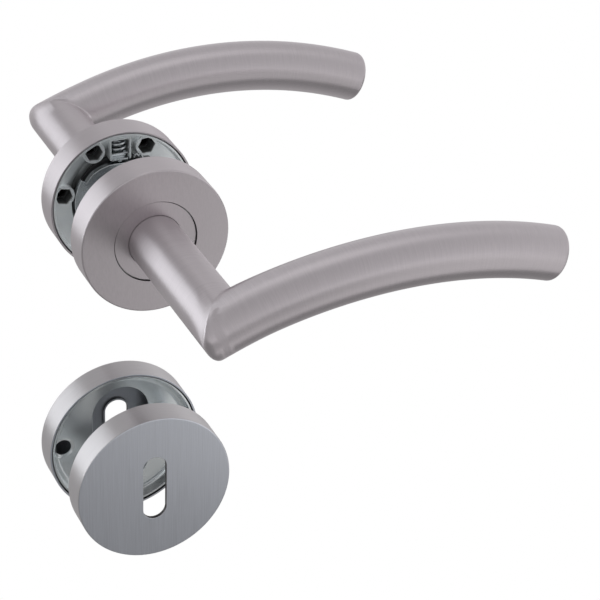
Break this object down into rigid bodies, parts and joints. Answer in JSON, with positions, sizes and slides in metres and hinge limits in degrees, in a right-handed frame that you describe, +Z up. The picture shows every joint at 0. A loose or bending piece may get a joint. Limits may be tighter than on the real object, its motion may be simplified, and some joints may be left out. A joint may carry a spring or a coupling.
{
  "type": "lever handle lockset",
  "caption": "Pair of mitred tube lever handles on round sprung roses, joined by a square spindle, with matching round keyhole escutcheons for a mortice lock.",
  "frame": {"origin": "on the spindle's axis, half way through the door", "axes": "+X along the grips, +Y from the door's front side to its back, +Z up"},
  "size_m": [0.1533, 0.1852, 0.1561],
  "materials": {
    "satin_steel": "satin brushed stainless steel, warm grey",
    "cool_steel": "satin brushed stainless steel, vertical grain on the face",
    "zinc": "bright zinc plate over die casting and pressing",
    "dark_steel": "plain drawn steel",
    "bright_steel": "bright zinc-plated steel wire and screws",
    "nylon": "black nylon"
  },
  "bodies": {
    "front_side": {"front_rose_cover": "satin_steel", "front_mounting_base": "zinc", "front_bearing_bush": "nylon", "front_wire_clip": "bright_steel", "front_upper_spring": "bright_steel", "front_lower_spring": "bright_steel", "front_escutcheon_cover": "cool_steel", "front_escutcheon_base": "zinc", "rose_bolt_1": "bright_steel", "rose_bolt_2": "bright_steel", "escutcheon_bolt": "bright_steel"},
    "back_side": {"back_rose_cover": "satin_steel", "back_mounting_base": "zinc", "back_bearing_bush": "nylon", "back_wire_clip": "bright_steel", "back_upper_spring": "bright_steel", "back_lower_spring": "bright_steel", "back_escutcheon_cover": "cool_steel", "back_escutcheon_base": "zinc", "rose_sleeve_1": "bright_steel", "rose_sleeve_2": "bright_steel", "escutcheon_sleeve": "bright_steel"},
    "front_lever": {"front_collar_ring": "satin_steel", "front_neck_tube": "satin_steel", "front_grip_tube": "satin_steel", "front_grip_end_cap": "satin_steel", "front_spindle_hub": "dark_steel", "front_rotor": "zinc", "front_retaining_ring": "dark_steel", "front_grub_screw": "dark_steel", "spindle": "dark_steel"},
    "back_lever": {"back_collar_ring": "satin_steel", "back_neck_tube": "satin_steel", "back_grip_tube": "satin_steel", "back_grip_end_cap": "satin_steel", "back_spindle_hub": "dark_steel", "back_rotor": "zinc", "back_retaining_ring": "dark_steel", "back_grub_screw": "dark_steel"},
    "front_upper_plunger": {"front_upper_plunger": "bright_steel"},
    "front_lower_plunger": {"front_lower_plunger": "bright_steel"},
    "back_upper_plunger": {"back_upper_plunger": "bright_steel"},
    "back_lower_plunger": {"back_lower_plunger": "bright_steel"}
  },
  "joints": [
    {"name": "door_thickness", "type": "slide", "parent": "front_side", "child": "back_side", "axis": [0, 1, 0], "range_m": [0, 0.024]},
    {"name": "front_lever_turn", "type": "hinge", "parent": "front_side", "child": "front_lever", "pos_m": [0, 0, 0], "axis": [0, 1, 0], "range_deg": [0, 40], "stiffness_Nm_per_rad": 0.35, "springref_deg": -25.78},
    {"name": "back_lever_turn", "type": "hinge", "parent": "back_side", "child": "back_lever", "pos_m": [0, 0, 0], "axis": [0, 1, 0], "range_deg": [0, 40], "stiffness_Nm_per_rad": 0.35, "springref_deg": -25.78},
    {"name": "front_upper_plunger_slide", "type": "slide", "parent": "front_side", "child": "front_upper_plunger", "axis": [0, 0, 1], "range_m": [0, 0.0013], "deforming": ["front_upper_spring"]},
    {"name": "front_lower_plunger_slide", "type": "slide", "parent": "front_side", "child": "front_lower_plunger", "axis": [0, 0, -1], "range_m": [0, 0.0013], "deforming": ["front_lower_spring"]},
    {"name": "back_upper_plunger_slide", "type": "slide", "parent": "back_side", "child": "back_upper_plunger", "axis": [0, 0, 1], "range_m": [0, 0.0013], "deforming": ["back_upper_spring"]},
    {"name": "back_lower_plunger_slide", "type": "slide", "parent": "back_side", "child": "back_lower_plunger", "axis": [0, 0, -1], "range_m": [0, 0.0013], "deforming": ["back_lower_spring"]}
  ],
  "couplings": [
    {"joint": "back_lever_turn", "follows": "front_lever_turn", "ratio": 1},
    {"joint": "front_upper_plunger_slide", "follows": "front_lever_turn", "m_per_rad": 0.00172},
    {"joint": "front_lower_plunger_slide", "follows": "front_lever_turn", "m_per_rad": 0.00172},
    {"joint": "back_upper_plunger_slide", "follows": "front_lever_turn", "m_per_rad": 0.00172},
    {"joint": "back_lower_plunger_slide", "follows": "front_lever_turn", "m_per_rad": 0.00172}
  ]
}
